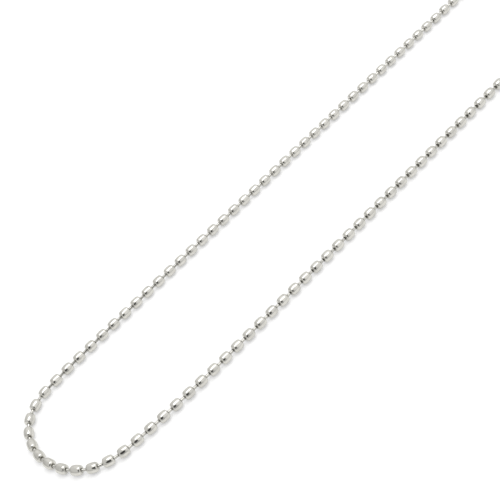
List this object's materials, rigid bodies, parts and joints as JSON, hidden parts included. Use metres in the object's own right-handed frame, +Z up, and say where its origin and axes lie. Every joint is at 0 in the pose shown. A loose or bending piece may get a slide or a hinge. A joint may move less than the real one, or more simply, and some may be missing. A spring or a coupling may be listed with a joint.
{
  "type": "ball chain necklace",
  "caption": "Closed ball chain for the neck: hollow crowned beads joined by headed pins, with a plain sleeve clasp, laid flat as a long narrow loop.",
  "frame": {"origin": "on the surface that the chain lies on, under the middle of the closed loop", "axes": "-X along the loop towards the round front bend, +X towards the back bend, +Y across it towards the strand with the clasp, +Z up from the surface"},
  "size_m": [0.2136, 0.0338, 0.0031],
  "materials": {
    "bead_metal": "polished silver-coloured metal",
    "pin_metal": "polished silver-coloured metal, a little darker than the beads",
    "clasp_metal": "polished silver-coloured metal"
  },
  "bodies": {
    "root": {"beads": "bead_metal", "links": "pin_metal", "clasp": "clasp_metal"}
  },
  "joints": []
}
